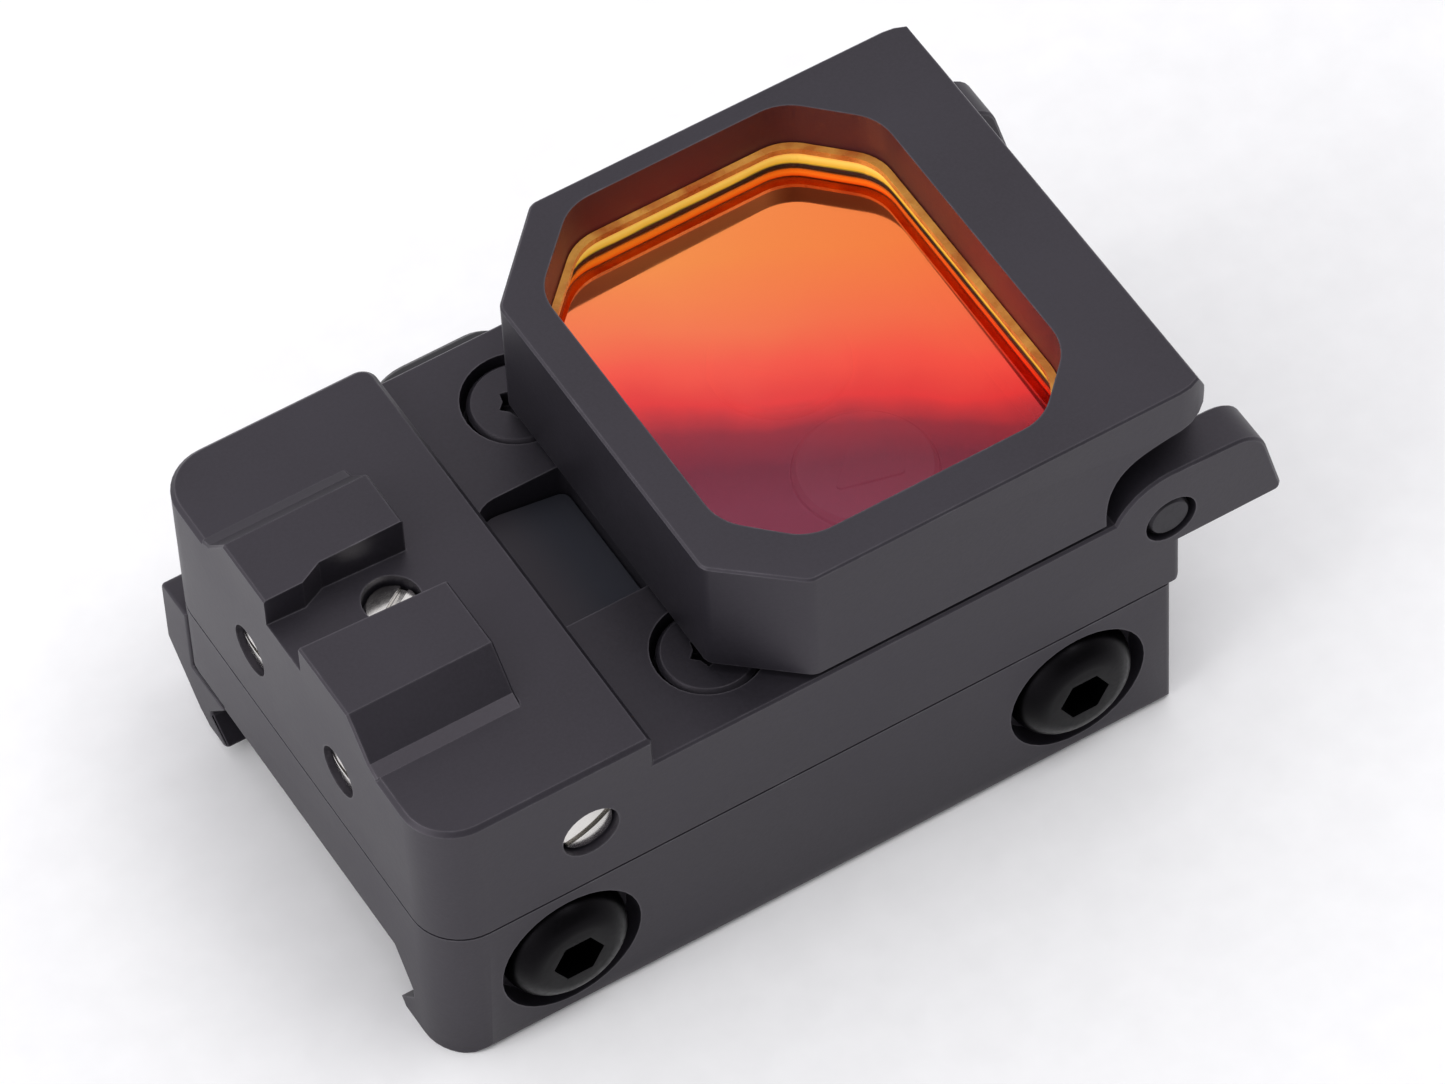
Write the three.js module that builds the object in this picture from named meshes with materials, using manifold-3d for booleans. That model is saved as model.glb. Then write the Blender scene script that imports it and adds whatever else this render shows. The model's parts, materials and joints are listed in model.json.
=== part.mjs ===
// Folding reflex sight on a rail clamp. Units are millimetres.
// +X points forward to the hinge, +Y to the left, +Z up. The origin is the centre of the rail seat.
import * as THREE from 'three';
import { mergeVertices } from 'three/addons/utils/BufferGeometryUtils.js';
import Module from 'manifold-3d';

const wasm = await Module();
wasm.setup();

// ---- Overall sizes -------------------------------------------------------------------------
const HALF_WIDTH = 14.5;
const REAR_X = -22.2;
const MOUNT_FRONT_X = 22.2;
const HOUSING_FRONT_X = 22.75;
const CORNER_R = 2.9;
const FRONT_CORNER_R = 0.5;
const BOTTOM_Z = -5.0;
const SEAM_Z = 5.15;
const DECK_Z = 12.4;
const BLOCK_Z = 14.4;
const BLOCK_FRONT_X = -9.1;
const EDGE = 0.25;
const FRAME_EDGE = 0.12;
const ROUND_STEPS = 10;

// ---- Rail clamp ----------------------------------------------------------------------------
const CLAW_FLAT_Y = 9.1;
const CLAW_VEE_Y = 10.75;
const CLAW_VEE_Z = -2.85;
const CLAW_LIP_Y = 9.25;
const SEAT_LEFT_Y = 8.85;
const SEAT_RELIEF_Z = 0.2;
const JAW_SEAT_Y = 12.3;
const JAW_TOP_Z = 4.15;
const JAW_IN_Y = 12.45;
const JAW_OUT_Y = 15.2;
const JAW_BOTTOM_Z = -4.3;
const JAW_EDGE = 0.12;
const BOLT_XS = [-14.7, 16.25];
const BOLT_Z = 0.27;
const BOLT_R = 1.98;
const BOLT_HEAD_R = 3.65;
const BOLT_HEAD_H = 2.2;
const COUNTERBORE_R = 4.15;
const COUNTERBORE_DEPTH = 1.5;
const BOLT_END_Y = 14.9;
const BOLT_FACE_R = 2.1;
const BOLT_RIM = 0.4;
const BOLT_HEX_R = 1.5;
const BOLT_HEX_FLOOR = 0.7;
const JAW_BELLY_Z = -0.5;
const JAW_TOE_Y = 12.2;
const JAW_FOOT_Y = 11.2;
const JAW_NOSE_Y = 8.95;
const JAW_NOSE_Z = -0.35;

// ---- Rear block ----------------------------------------------------------------------------
const BOSS_TOP_Z = 16.9;
const BOSS_TOP_Y = 6.4;
const BOSS_FOOT_Y = 8.3;
const BOSS_TOE_Y = 9.05;
const BOSS_FRONT_X = -13.6;
const NOTCH_REAR_Z = 14.95;
const NOTCH_LEFT_Y = [2.1, 2.78];
const NOTCH_RIGHT_Y = [-1.4, -1.85];
const NOTCH_STEP_X = [-19.9, -18.55];
const BLOCK_LEFT_R = 0.9;

// ---- Adjusters -----------------------------------------------------------------------------
const ELEV_X = -15.85;
const ELEV_Y = 0.3;
const ELEV_HOLE_R = 1.6;
const ELEV_HEAD_R = 1.42;
const ELEV_SEAT_Z = 13.45;
const ELEV_TOP_Z = 14.05;
const WIND_X = -13.04;
const WIND_Z = 9.33;
const WIND_HOLE_R = 1.67;
const LOCK_Y = 4.6;
const LOCK_Z = 9.95;
const LOCK_HOLE_R = 1.5;
const SHANK_R = 0.95;
const SHANK_CLEARANCE = 0.08;
const ELEV_END_Z = 6.0;
const WIND_FACE_Y = -14.2;
const WIND_HEAD_R = 1.5;
const WIND_SEAT_Y = -12.7;
const WIND_END_Y = 7.4;
const LOCK_FACE_X = -21.95;
const LOCK_HEAD_R = 1.42;
const LOCK_END_X = -19.75;
const LOCK_TIP_R = 1.1;
const LOCK_TIP_X = -18.95;
const HEAD_RISE = 0.14;
const ELEV_SLOT_TURN = THREE.MathUtils.degToRad(33);
const WIND_SLOT_TURN = THREE.MathUtils.degToRad(-26);
const CLIP_R = 1.9;
const CLIP_THICK = 0.32;
const SLOT_DEEP = 0.55;
const SLOT_HALF = 0.22;

// ---- Bays inside the upper housing, all open underneath -----------------------------------------
const ADJUSTER_BAY = { x0: -19.4, x1: -10.3, halfY: 8.5, top: 12.9 };
const LIGHT_BAY = { x0: -10.4, x1: -3.9, halfY: 4.2, top: 8.9 };
const BOARD_BAY = { x0: 1.0, x1: 17.0, halfY: 9.0, top: 11.1 };
const LIGHT_SLOT = { x0: -8.3, x1: -4.0, halfY: 3.7, top: 11.0 };

// ---- Seal between the two blocks ---------------------------------------------------------------
const SEAL_X = [-20.7, 19.6];
const SEAL_Y = 12.2;
const SEAL_R = 1.6;
const SEAL_HALF_WIDE = 0.38;
const SEAL_TALL = 0.85;

// ---- Light source and its carriage ---------------------------------------------------------------
const CARRIAGE = { x0: -18.9, x1: -14.5, halfY: 6.9, z0: 6.1, z1: 11.6 };
const CARRIAGE_SHELF = { x0: -14.6, x1: -11.6, halfY: 6.9, z0: 6.1, z1: 6.6 };
const NUT_BODY = { x0: -14.3, x1: -11.9, halfY: 1.4, z0: 8.1, z1: 10.6 };
const NUT_TONGUE = { x0: -12.0, x1: -10.8, halfY: 0.8, z0: 8.4, z1: 10.2 };
const HOLDER_FOOT = { x0: -14.4, x1: -10.4, halfY: 2.0, z0: 6.65, z1: 7.15 };
const HOLDER_KEEL = { x0: -11.5, x1: -10.4, halfY: 2.0, z0: 6.15, z1: 6.9 };
const HOLDER_ARM = { x0: -10.6, x1: -5.0, halfY: 1.5, z0: 6.65, z1: 7.15 };
const HOLDER_SEAT = { x0: -7.4, x1: -5.4, halfY: 1.2, z0: 7.0, z1: 7.8 };
const HOLDER_FORK = { x0: -11.8, x1: -10.8, in: 0.9, out: 2.0, z0: 7.0, z1: 11.2 };
const LED_BODY = { x0: -7.2, x1: -5.6, halfY: 0.8, z0: 7.8, z1: 8.15 };
const LED_DOME = { x: -6.4, r: 0.5, top: 8.4 };

// ---- Deck ----------------------------------------------------------------------------------
const SCREW_X = -3.0;
const SCREW_Y = 9.65;
const SCREW_HEAD_R = 2.75;
const SCREW_RECESS_R = 3.07;
const SCREW_SHANK_R = 1.5;
const SCREW_SEAT_Z = DECK_Z - 2.15;
const SCREW_END_Z = 1.3;
const SCREW_SOCKET_R = [1.08, 0.78];
const SCREW_SOCKET_DEEP = 1.1;
const RECESS_FRONT_X = -3.15;
const RECESS_HALF_Y = 4.6;
const RAMP_REAR_Z = 11.35;
const RAMP_FRONT_Z = 10.15;
const RECESS_FAR_R = 1.7;
const RECESS_R = 0.5;
const PANE_THICK = 0.8;
const PANE_SUNK = 0.02;
const PANE_INSET = 0.08;
const KEY_X = 9.8;
const KEY_Y = 4.3;
const KEY_R = 3.86;
const KEY_TOP_Z = DECK_Z + 0.4;
const KEY_FLANGE_R = 4.2;
const KEY_FLANGE_Z = [10.8, 11.05];
const KEY_STEM_R = 0.9;
const KEY_STEM_Z = 10.4;
const KEY_MARK_R = 2.3;
const KEY_MARK_TALL = 0.15;
const KEY_MARK_TURN = THREE.MathUtils.degToRad(75);

// ---- Hinge ---------------------------------------------------------------------------------
const PIN_X = 22.1;
const PIN_Z = 10.7;
const PIN_R = 1.0;
const PIN_HEAD_R = 1.3;
const PIN_RING_R = 1.55;
const EAR_IN_Y = 11.75;
const EAR_R = 3.8;
const EAR_NOSE = [5.55, 3.5];
const EAR_NOSE_R = 2.0;
const EAR_TIP = [6.95, -2.15];
const EAR_CUT = [
  [-3.98, -5], [-3.98, 1.9], [-3.96, 3.3], [-3.72, 4.6], [-3.1, 5.7], [-2.1, 6.4], [-0.6, 6.8],
  [0.9, 7.02], [2.2, 7.3], [3.9, 7.5], [7, 7.6],
];
const BARREL_R = 2.15;
const BARREL_HALF_Y = 7.5;
const TROUGH_X = 19.5;
const TROUGH_Z = PIN_Z - 2.3;
const SPRING_COIL_R = 1.65;
const SPRING_WIRE_R = 0.24;
const SPRING_TURNS = 4.25;
const SPRING_IN_Y = 8.0;
const SPRING_LONG = 3.2;

// ---- Lens frame ----------------------------------------------------------------------------
const FRAME_REAR_X = -3.75;
const FRAME_LIP_X = 23.95;
const FRAME_FRONT_X = 25.3;
const FRAME_NOSE_Z = 17.8;
const FRAME_BOTTOM_Z = 12.75;
const FRAME_TOP_Z = 20.8;
const FRAME_CHAMFER_RIGHT = [4.25, 3.7];
const FRAME_CHAMFER_LEFT = [4.9, 5.1];
const FRAME_REAR_R = 0.9;
const FRAME_CORNER_R = 2.6;
const OPENING_X = [-1.45, 19.4];
const OPENING_Y = [-12.1, 13.25];
const OPENING_CHAMFERS = { rearRight: 3.4, frontRight: 3.5, frontLeft: 3.8, rearLeft: 4.2 };
const OPENING_R = 3.0;
const LEDGE_Z = 13.95;
const LEDGE_INSET = 1.0;
const LENS_JOIN_Z = 15.9;
const LENS_TOP_Z = 17.45;
const LENS_GAP = 0.08;
const BEAD_WIDE = 0.42;
const BEAD_TALL = 0.4;
const MAGNET_R = 0.8;
const MAGNET_X = 3.0;
const MAGNET_Y = -13.1;

// ---- Electronics ---------------------------------------------------------------------------
const CELL_X = 8.0;
const CELL_R = 10.0;
const CELL_TOP_Z = 8.45;
const BOARD_Z = 9.0;
const BOARD_TOP_Z = 9.7;
const CELL_BASE_Z = 5.25;
const BOARD_X = [1.2, 16.8];
const BOARD_HALF_Y = 8.8;
const SWITCH_HALF = 1.5;
const SWITCH_BASE = 0.18;
const SWITCH_TALL = 0.28;
const SENSOR = { x0: 2.2, x1: 3.8, y0: -8.4, y1: -6.8, tall: 0.7 };
const CHIP = { x0: 4.2, x1: 7.0, halfY: 1.4, tall: 0.55 };
const CONTACT_X = [4.5, 11.5];
const CONTACT_FOOT_X = 6.0;
const CONTACT_HALF_Y = 1.2;

// ---- Release button ------------------------------------------------------------------------
const BUTTON_X = -4.8;
const BUTTON_Z = 9.35;
const BUTTON_LONG = 8.4;
const BUTTON_TALL = 4.6;
const BUTTON_POCKET_Y = 13.1;
const BUTTON_BACK_Y = 13.9;
const BUTTON_FACE_Y = 15.7;
const ARM_Y = [13.3, 13.88];
const ARM_FRONT_X = 3.7;
const ARM_Z = [8.6, 10.4];
const LATCH_X = [2.4, 3.6];
const LATCH_TOP_Z = 13.45;
const ARM_TRAVEL = 0.75;
const ARM_GAP = 0.15;
const PUSH_SPRING = { x: -7.5, z: 8.5, r: 0.85, wireR: 0.14, y0: 11.58, long: 2.1, turns: 4 };

// ---- Materials -----------------------------------------------------------------------------
function finish(name, color, roughness, metalness, extra = {}) {
  return new THREE.MeshStandardMaterial({ name, color, roughness, metalness, ...extra });
}
const ANODISED = finish('anodised_black', 0x37343b, 0.5, 0.6);
const BLACK_OXIDE = finish('black_oxide_steel', 0x1c1b1f, 0.4, 0.8);
const BARE_STEEL = finish('bright_steel', 0xc4c1bd, 0.28, 1.0);
const SPRING_STEEL = finish('spring_steel', 0x9a9997, 0.35, 1.0);
const DARK_PLASTIC = finish('black_plastic', 0x17161a, 0.55, 0.0);
const NYLON = finish('white_nylon', 0xd8d6cc, 0.6, 0.0);
const SEAL = finish('black_rubber', 0x121214, 0.8, 0.0);
const RED_GLASS = finish('red_coated_glass', 0xf2543c, 0.05, 0.0, {
  transparent: true,
  opacity: 0.55,
});
const CEMENT = finish('amber_cement', 0xd9a13c, 0.35, 0.0);
const SMOKE_GLASS = finish('smoked_glass', 0x3a3d4a, 0.08, 0.0, {
  transparent: true,
  opacity: 0.7,
});
const BOARD = finish('circuit_board', 0x1d5a34, 0.5, 0.0);
const CELL = finish('cell_steel', 0xb8b9bb, 0.3, 1.0);
const BRASS = finish('brass', 0xb08d4a, 0.35, 1.0);

// ---- Geometry helpers ----------------------------------------------------------------------
function clean(geometry) {
  const bare = geometry.index ? geometry.toNonIndexed() : geometry;
  bare.deleteAttribute('normal');
  bare.deleteAttribute('uv');
  return mergeVertices(bare, 1e-5);
}

function toSolid(geometry) {
  const g = clean(geometry);
  const mesh = new wasm.Mesh({
    numProp: 3,
    vertProperties: new Float32Array(g.attributes.position.array),
    triVerts: new Uint32Array(g.index.array),
  });
  mesh.merge();
  return new wasm.Manifold(mesh);
}

function toGeometry(solid) {
  const mesh = solid.getMesh();
  const g = new THREE.BufferGeometry();
  g.setAttribute('position', new THREE.BufferAttribute(new Float32Array(mesh.vertProperties), 3));
  g.setIndex(new THREE.BufferAttribute(new Uint32Array(mesh.triVerts), 1));
  g.computeVertexNormals();
  return g;
}

function join(...parts) {
  return toGeometry(parts.map(toSolid).reduce((a, b) => a.add(b)));
}

function cut(base, ...tools) {
  return toGeometry(tools.map(toSolid).reduce((a, b) => a.subtract(b), toSolid(base)));
}

function common(a, b) {
  return toGeometry(toSolid(a).intersect(toSolid(b)));
}

function box(x0, x1, y0, y1, z0, z1) {
  const g = new THREE.BoxGeometry(x1 - x0, y1 - y0, z1 - z0);
  return g.translate((x0 + x1) / 2, (y0 + y1) / 2, (z0 + z1) / 2);
}

// Box that reaches as far to the left as to the right.
function slab({ x0, x1, halfY, z0, z1 }) {
  return box(x0, x1, -halfY, halfY, z0, z1);
}

// Closed outline whose corners are rounded with arcs; each point is [u, v, radius].
function outline(points, steps = 5) {
  const out = [];
  points.forEach(([u, v, r = 0], i) => {
    const here = new THREE.Vector2(u, v);
    if (r === 0) {
      out.push(here);
      return;
    }
    const before = points[(i + points.length - 1) % points.length];
    const after = points[(i + 1) % points.length];
    const back = new THREE.Vector2(before[0] - u, before[1] - v).normalize();
    const ahead = new THREE.Vector2(after[0] - u, after[1] - v).normalize();
    const half = Math.acos(THREE.MathUtils.clamp(back.dot(ahead), -1, 1)) / 2;
    const reach = r / Math.tan(half);
    const middle = back.clone().add(ahead).normalize().multiplyScalar(r / Math.sin(half)).add(here);
    const start = here.clone().addScaledVector(back, reach).sub(middle);
    const end = here.clone().addScaledVector(ahead, reach).sub(middle);
    let turn = end.angle() - start.angle();
    turn = Math.atan2(Math.sin(turn), Math.cos(turn));
    for (let k = 0; k <= steps; k += 1) {
      out.push(start.clone().rotateAround(new THREE.Vector2(), (turn * k) / steps).add(middle));
    }
  });
  return out;
}

function extrude(points, depth, bevel, holes) {
  const shape = new THREE.Shape(points);
  holes.forEach((hole) => shape.holes.push(new THREE.Path(hole)));
  return new THREE.ExtrudeGeometry(shape, {
    depth: depth - 2 * bevel,
    bevelEnabled: bevel > 0,
    bevelSize: bevel,
    bevelThickness: bevel,
    bevelOffset: -bevel,
    bevelSegments: 1,
    steps: 1,
  }).translate(0, 0, bevel);
}

// Prism standing along Z; outline points are (x, y).
function prismZ(points, z0, z1, bevel = 0, holes = []) {
  return extrude(points, z1 - z0, bevel, holes).translate(0, 0, z0);
}

// Prism along X; outline points are (y, z).
function prismX(points, x0, x1, bevel = 0) {
  const g = extrude(points, x1 - x0, bevel, []);
  g.applyMatrix4(new THREE.Matrix4().set(0, 0, 1, x0, 1, 0, 0, 0, 0, 1, 0, 0, 0, 0, 0, 1));
  return g;
}

// Prism along Y; outline points are (x, z).
function prismY(points, y0, y1, bevel = 0) {
  const mirrored = points.map((p) => new THREE.Vector2(p.y, p.x));
  const g = extrude(mirrored, y1 - y0, bevel, []);
  g.applyMatrix4(new THREE.Matrix4().set(0, 1, 0, 0, 0, 0, 1, y0, 1, 0, 0, 0, 0, 0, 0, 1));
  return g;
}

const AXIS_TURN = {
  x: new THREE.Matrix4().makeRotationZ(-Math.PI / 2),
  y: new THREE.Matrix4(),
  z: new THREE.Matrix4().makeRotationX(Math.PI / 2),
};

// Turned piece about an axis through (a, b); profile points are [radius, distance along axis].
function turned(axis, a, b, profile, segments = 28) {
  const points = profile.map(([r, h]) => new THREE.Vector2(r, h));
  const g = new THREE.LatheGeometry(points, segments);
  g.applyMatrix4(AXIS_TURN[axis]);
  if (axis === 'x') return g.translate(0, a, b);
  if (axis === 'y') return g.translate(a, 0, b);
  return g.translate(a, b, 0);
}

function rod(axis, a, b, r, from, to, segments = 28) {
  return turned(axis, a, b, [[0, from], [r, from], [r, to], [0, to]], segments);
}

function ring(axis, a, b, inner, outer, from, to, segments = 24) {
  const profile = [[inner, from], [outer, from], [outer, to], [inner, to], [inner, from]];
  return turned(axis, a, b, profile, segments);
}

// Round wire swept along a smooth line of [x, y, z] points.
function wire(points, r, steps, sides = 6) {
  const path = new THREE.CatmullRomCurve3(points.map((p) => new THREE.Vector3(...p)));
  const rim = [];
  for (let i = 0; i < sides; i += 1) {
    const t = (2 * Math.PI * i) / sides;
    rim.push(new THREE.Vector2(r * Math.cos(t), r * Math.sin(t)));
  }
  return new THREE.ExtrudeGeometry(new THREE.Shape(rim), {
    steps, bevelEnabled: false, extrudePath: path,
  });
}

function part(name, geometry, material) {
  const tidy = clean(geometry);
  tidy.computeVertexNormals();
  const mesh = new THREE.Mesh(tidy, material);
  mesh.name = name;
  return mesh;
}

// Plan outline of the body: round rear corners and nearly square front ones.
function bodyPlan(frontX, frontR = FRONT_CORNER_R) {
  return outline([
    [REAR_X, -HALF_WIDTH, CORNER_R],
    [frontX, -HALF_WIDTH, frontR],
    [frontX, HALF_WIDTH, frontR],
    [REAR_X, HALF_WIDTH, CORNER_R],
  ], ROUND_STEPS);
}

const group = new THREE.Group();
group.name = 'folding_reflex_sight';

// ---- Rail mount ----------------------------------------------------------------------------
function railMount() {
  const section = outline([
    [-HALF_WIDTH, SEAM_Z],
    [-HALF_WIDTH, BOTTOM_Z, 0.7],
    [-CLAW_LIP_Y - 0.4, BOTTOM_Z],
    [-CLAW_LIP_Y, BOTTOM_Z + 0.5],
    [-CLAW_VEE_Y, CLAW_VEE_Z],
    [-CLAW_VEE_Y, CLAW_VEE_Z + 0.7],
    [-CLAW_FLAT_Y, 0],
    [SEAT_LEFT_Y, 0],
    [SEAT_LEFT_Y, SEAT_RELIEF_Z],
    [JAW_SEAT_Y, SEAT_RELIEF_Z],
    [JAW_SEAT_Y, JAW_TOP_Z + 0.15],
    [HALF_WIDTH, JAW_TOP_Z + 0.15],
    [HALF_WIDTH, SEAM_Z],
  ], 3);
  const blank = common(
    prismX(section, REAR_X - 1, MOUNT_FRONT_X + 1),
    prismZ(bodyPlan(MOUNT_FRONT_X), BOTTOM_Z - 1, SEAM_Z),
  );
  const tools = BOLT_XS.flatMap((x) => [
    rod('y', x, BOLT_Z, COUNTERBORE_R, -HALF_WIDTH - 1, -HALF_WIDTH + COUNTERBORE_DEPTH, 40),
    rod('y', x, BOLT_Z, BOLT_R + 0.12, -HALF_WIDTH, JAW_SEAT_Y + 1),
  ]);
  for (const side of [-1, 1]) {
    tools.push(rod('z', SCREW_X, side * SCREW_Y, SCREW_SHANK_R + 0.05, SCREW_END_Z - 0.2, SEAM_Z + 1));
  }
  return cut(blank, ...tools);
}
group.add(part('rail_mount', railMount(), ANODISED));

// ---- Upper housing -------------------------------------------------------------------------
function earProfile() {
  const arc = [];
  for (let k = 0; k <= 8; k += 1) {
    const t = Math.PI - (Math.PI / 2) * (k / 8);
    arc.push([PIN_X + EAR_R * Math.cos(t), PIN_Z + EAR_R * Math.sin(t)]);
  }
  return outline([
    ...arc,
    [PIN_X + EAR_NOSE[0], PIN_Z + EAR_NOSE[1], EAR_NOSE_R],
    [PIN_X + EAR_TIP[0], PIN_Z + EAR_TIP[1], 0.4],
    [PIN_X - EAR_R, PIN_Z + EAR_TIP[1]],
  ], 6);
}

function boss() {
  const section = [];
  for (const side of [-1, 1]) {
    const half = [
      [side * (BOSS_TOE_Y + 0.2), BLOCK_Z - 1],
      [side * BOSS_TOE_Y, BLOCK_Z],
      [side * BOSS_FOOT_Y, BLOCK_Z + 0.35],
      [side * BOSS_TOP_Y, BOSS_TOP_Z],
    ];
    section.push(...(side < 0 ? half : half.reverse()));
  }
  return prismX(section.map(([y, z]) => new THREE.Vector2(y, z)), REAR_X, BOSS_FRONT_X, FRAME_EDGE);
}

function rampZ(x) {
  const along = (x - BLOCK_FRONT_X) / (RECESS_FRONT_X - BLOCK_FRONT_X);
  return RAMP_REAR_Z + (RAMP_FRONT_Z - RAMP_REAR_Z) * along;
}

// Plan of the sloped recess, grown or shrunk all round.
function recessPlan(grow) {
  return outline([
    [BLOCK_FRONT_X - grow, -RECESS_HALF_Y - grow, RECESS_R],
    [RECESS_FRONT_X + grow, -RECESS_HALF_Y - grow, RECESS_R],
    [RECESS_FRONT_X + grow, RECESS_HALF_Y + grow, RECESS_R],
    [BLOCK_FRONT_X - grow, RECESS_HALF_Y + grow, RECESS_FAR_R],
  ], 6);
}

// Slab following the ramp, from x0 to x1, between two distances below its surface.
function rampSlab(x0, x1, halfY, under, over) {
  const points = [
    [x0, rampZ(x0) - under], [x1, rampZ(x1) - under], [x1, rampZ(x1) - over], [x0, rampZ(x0) - over],
  ];
  return prismY(points.map(([x, z]) => new THREE.Vector2(x, z)), -halfY, halfY);
}

// Sight notch: its floor falls to meet the block's top, and its left wall steps out half way.
function notch() {
  const rear = REAR_X - 1;
  const front = BOSS_FRONT_X + 1;
  const side = [
    [rear, NOTCH_REAR_Z],
    [REAR_X, NOTCH_REAR_Z],
    [BOSS_FRONT_X, BLOCK_Z],
    [front, BLOCK_Z],
    [front, BOSS_TOP_Z + 1],
    [rear, BOSS_TOP_Z + 1],
  ];
  const plan = [
    [rear, NOTCH_RIGHT_Y[0]],
    [front, NOTCH_RIGHT_Y[1]],
    [front, NOTCH_LEFT_Y[1]],
    [NOTCH_STEP_X[1], NOTCH_LEFT_Y[1]],
    [NOTCH_STEP_X[0], NOTCH_LEFT_Y[0]],
    [rear, NOTCH_LEFT_Y[0]],
  ];
  return common(
    prismY(outline(side), -BOSS_FOOT_Y, BOSS_FOOT_Y),
    prismZ(outline(plan), BLOCK_Z - 1, BOSS_TOP_Z + 1),
  );
}


function sealPath(grow) {
  return outline([
    [SEAL_X[0] - grow, -SEAL_Y - grow, SEAL_R + grow],
    [SEAL_X[1] + grow, -SEAL_Y - grow, SEAL_R + grow],
    [SEAL_X[1] + grow, SEAL_Y + grow, SEAL_R + grow],
    [SEAL_X[0] - grow, SEAL_Y + grow, SEAL_R + grow],
  ], 4);
}

function sealRing(halfWide, z0, z1) {
  return cut(prismZ(sealPath(halfWide), z0, z1), prismZ(sealPath(-halfWide), z0 - 1, z1 + 1));
}

function buttonPlan(grow) {
  const u = BUTTON_LONG / 2 + grow;
  const v = BUTTON_TALL / 2 + grow;
  return outline([
    [BUTTON_X - u, BUTTON_Z - v, v - 0.05],
    [BUTTON_X + u, BUTTON_Z - v, v - 0.05],
    [BUTTON_X + u, BUTTON_Z + v, v - 0.05],
    [BUTTON_X - u, BUTTON_Z + v, v - 0.05],
  ], 7);
}

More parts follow.
